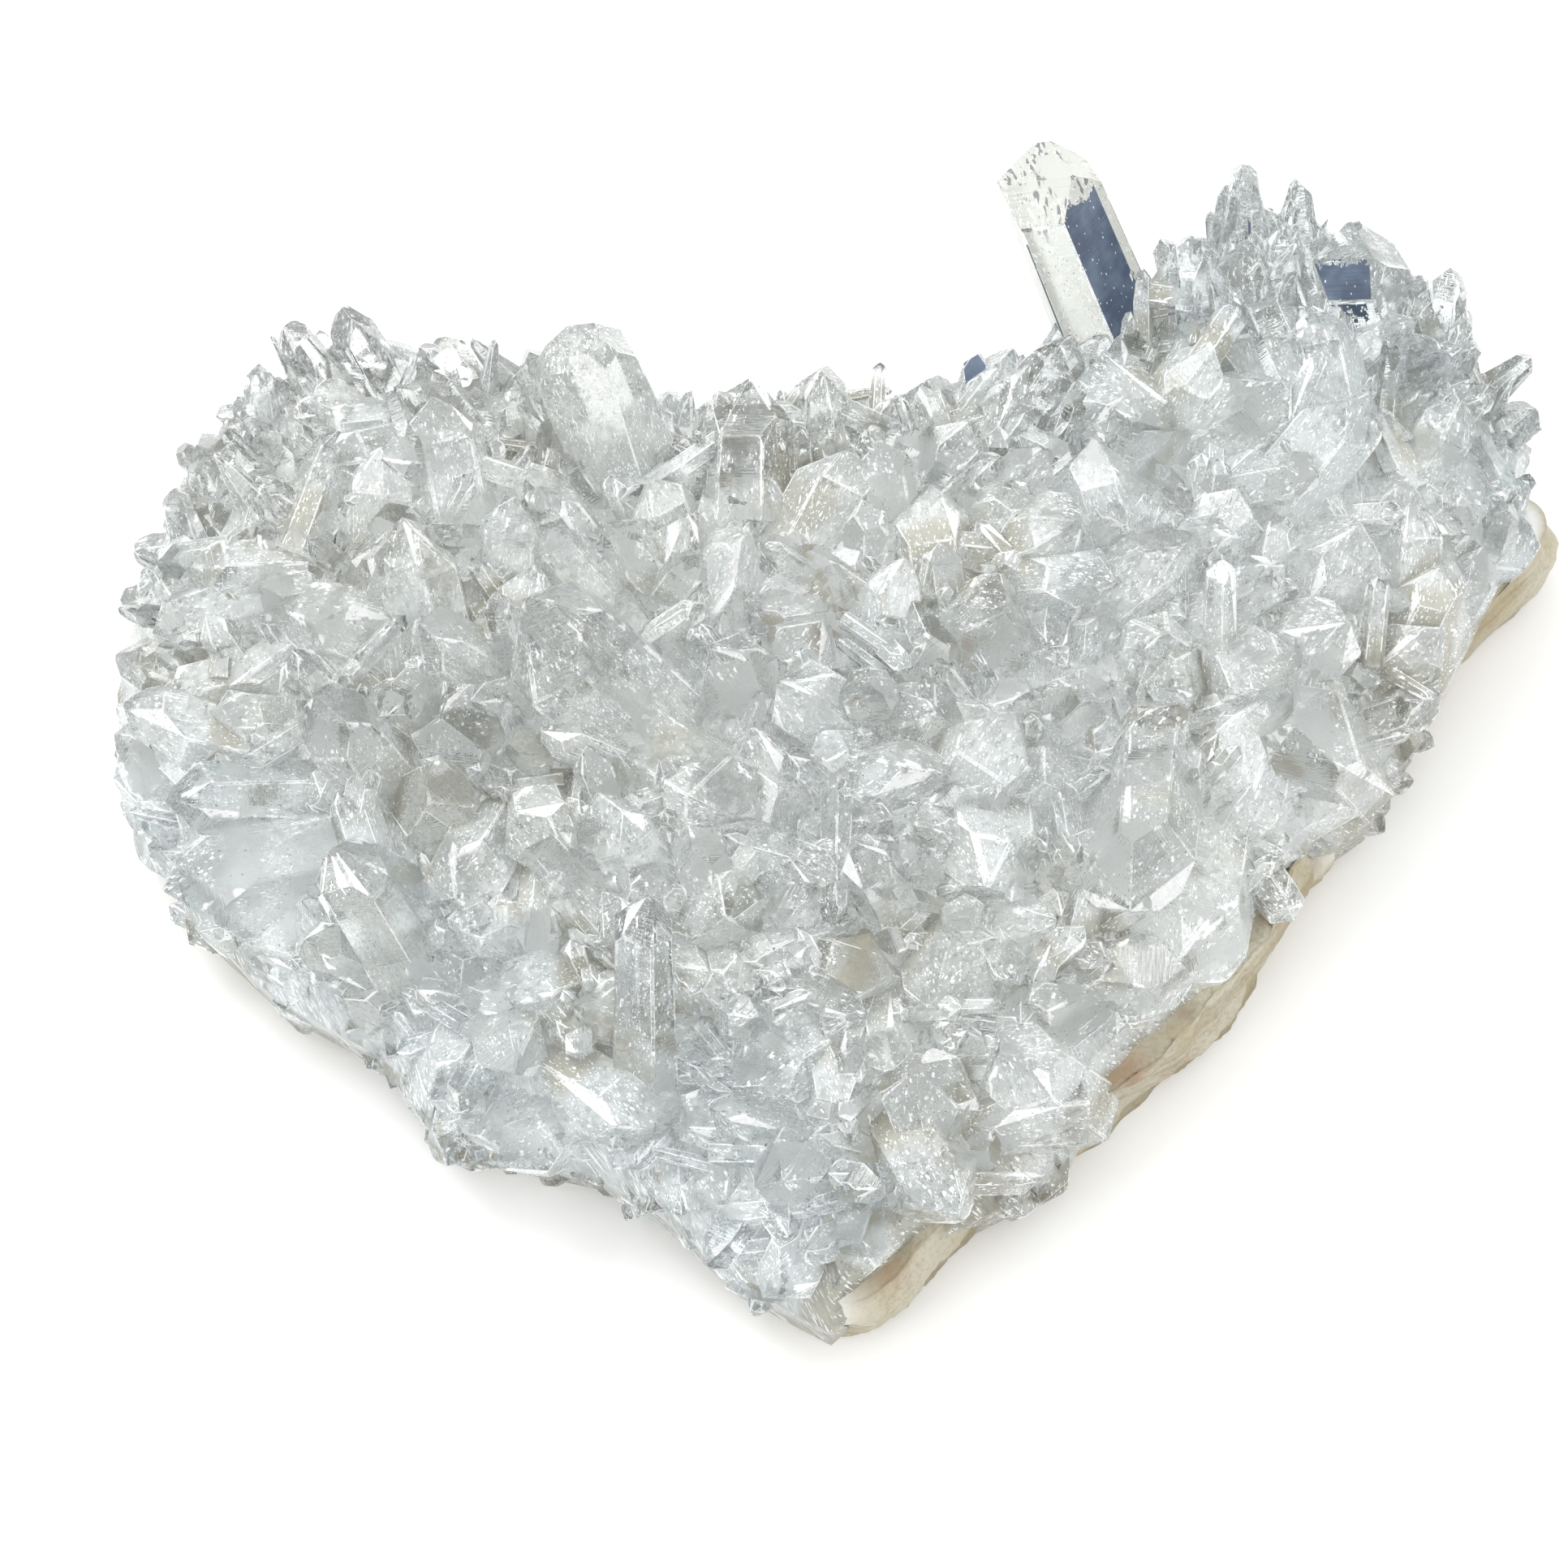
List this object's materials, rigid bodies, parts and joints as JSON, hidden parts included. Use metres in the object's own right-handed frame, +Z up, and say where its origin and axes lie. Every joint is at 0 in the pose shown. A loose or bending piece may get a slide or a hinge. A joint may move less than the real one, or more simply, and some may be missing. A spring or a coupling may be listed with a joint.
{
  "type": "clear quartz crystal cluster",
  "caption": "Heart-shaped plate of intergrown clear quartz points on a thin slab of cream matrix rock, with one tall point at the far rim; rests flat.",
  "frame": {"origin": "on the flat underside, below the middle of the whole specimen", "axes": "+Z up from the resting face, +Y from the tip of the heart towards its notch, +X to the right of someone at the tip"},
  "size_m": [0.194, 0.1502, 0.0582],
  "materials": {
    "matrix_rock": "matte",
    "clear_quartz": "polished"
  },
  "bodies": {
    "root": {"matrix": "matrix_rock", "crystal_cluster": "clear_quartz"}
  },
  "joints": []
}
